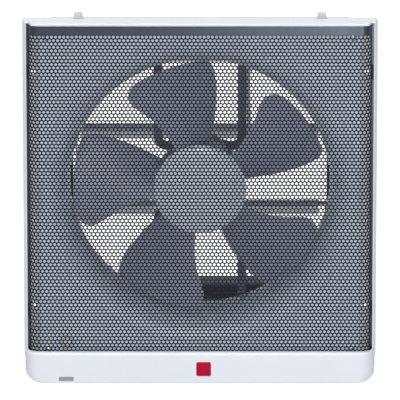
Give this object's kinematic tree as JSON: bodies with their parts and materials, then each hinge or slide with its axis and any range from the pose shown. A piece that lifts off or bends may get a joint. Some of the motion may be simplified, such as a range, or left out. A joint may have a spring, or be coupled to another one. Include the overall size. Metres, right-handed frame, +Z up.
{
  "type": "window exhaust fan",
  "caption": "Square wall exhaust fan with a dark mesh inlet cover, bladed propeller, motor on strap brackets and linked rear shutter louvres.",
  "frame": {"origin": "on the fan's axis, in the plane of the wall (the rear face of the flange)", "axes": "+X to the right seen from the room, +Y into the wall along the fan's axis, +Z up"},
  "size_m": [0.348, 0.1727, 0.3766],
  "materials": {
    "white_plastic": "white plastic, half-gloss",
    "white_steel": "white painted steel",
    "pale_steel": "pale grey painted steel, smooth",
    "pale_aluminium": "pale grey painted sheet",
    "dark_steel": "dark grey painted steel",
    "mesh_steel": "dark blue-grey painted perforated steel",
    "zinc_steel": "zinc plated steel",
    "bare_steel": "bare steel",
    "copper_wire": "lacquered copper windings",
    "blade_plastic": "grey moulded plastic, satin",
    "spinner_plastic": "light grey moulded plastic, glossy",
    "red_plastic": "red plastic",
    "black_plastic": "black moulded plastic",
    "grey_rubber": "pale grey rubber",
    "lead_sleeve": "pale sleeved lead"
  },
  "bodies": {
    "housing": {"wall_sleeve": "white_plastic", "hook_left": "white_steel", "hook_right": "white_steel", "orifice_plate": "pale_steel", "cord_bush": "grey_rubber", "plate_screw_1": "zinc_steel", "plate_screw_2": "zinc_steel", "plate_screw_3": "zinc_steel", "plate_screw_4": "zinc_steel", "motor_bracket_upper": "dark_steel", "motor_bracket_lower": "dark_steel", "bracket_screw_1": "zinc_steel", "bracket_screw_2": "zinc_steel", "bracket_screw_3": "zinc_steel", "bracket_screw_4": "zinc_steel", "motor_front_shell": "zinc_steel", "motor_rear_shell": "zinc_steel", "stator_core": "bare_steel", "winding_front": "copper_wire", "winding_rear": "copper_wire", "bearing_front": "bare_steel", "bearing_rear": "bare_steel", "motor_screw_1": "zinc_steel", "motor_screw_2": "zinc_steel", "motor_screw_3": "zinc_steel", "motor_screw_4": "zinc_steel", "terminal_box": "black_plastic", "terminal_lid": "black_plastic", "lid_screw": "zinc_steel", "capacitor": "black_plastic", "capacitor_strap": "zinc_steel", "motor_lead": "lead_sleeve", "shutter_frame": "dark_steel", "shutter_screw_1": "zinc_steel", "shutter_screw_2": "zinc_steel", "shutter_screw_3": "zinc_steel", "shutter_screw_4": "zinc_steel", "shutter_actuator": "black_plastic"},
    "rotor": {"propeller": "blade_plastic", "spinner": "spinner_plastic", "shaft": "bare_steel", "rotor_core": "bare_steel", "shaft_nut": "zinc_steel"},
    "louvre_mid": {"louvre_mid": "pale_aluminium"},
    "louvre_top": {"louvre_top": "pale_aluminium"},
    "louvre_low": {"louvre_low": "pale_aluminium"},
    "tie_bar": {"tie_bar": "zinc_steel"},
    "cover": {"cover_frame": "white_plastic", "grille_sheet": "mesh_steel", "badge_plate": "red_plastic", "cover_catch_left": "white_plastic", "cover_catch_right": "white_plastic", "sheet_clip_1": "mesh_steel", "sheet_clip_2": "mesh_steel", "sheet_clip_3": "mesh_steel", "sheet_clip_4": "mesh_steel"}
  },
  "joints": [
    {"name": "fan_spin", "type": "hinge", "parent": "housing", "child": "rotor", "pos_m": [0, 0.036, 0], "axis": [0, -1, 0], "continuous": true},
    {"name": "louvre_mid_swing", "type": "hinge", "parent": "housing", "child": "louvre_mid", "pos_m": [0, 0.0765, 0.04], "axis": [1, 0, 0], "range_deg": [-64, 16]},
    {"name": "louvre_top_swing", "type": "hinge", "parent": "housing", "child": "louvre_top", "pos_m": [0, 0.0765, 0.12], "axis": [1, 0, 0], "range_deg": [-64, 16]},
    {"name": "louvre_low_swing", "type": "hinge", "parent": "housing", "child": "louvre_low", "pos_m": [0, 0.0765, -0.04], "axis": [1, 0, 0], "range_deg": [-64, 16]},
    {"name": "tie_bar_pivot", "type": "hinge", "parent": "louvre_mid", "child": "tie_bar", "pos_m": [-0.1227, 0.0985, 0.03962], "axis": [1, 0, 0], "range_deg": [-16, 64]},
    {"name": "cover_tilt", "type": "hinge", "parent": "housing", "child": "cover", "pos_m": [0, 0, 0.175], "axis": [-1, 0, 0], "range_deg": [0, 60]}
  ],
  "couplings": [
    {"joint": "louvre_top_swing", "follows": "louvre_mid_swing", "ratio": 1},
    {"joint": "louvre_low_swing", "follows": "louvre_mid_swing", "ratio": 1},
    {"joint": "tie_bar_pivot", "follows": "louvre_mid_swing", "ratio": -1}
  ]
}
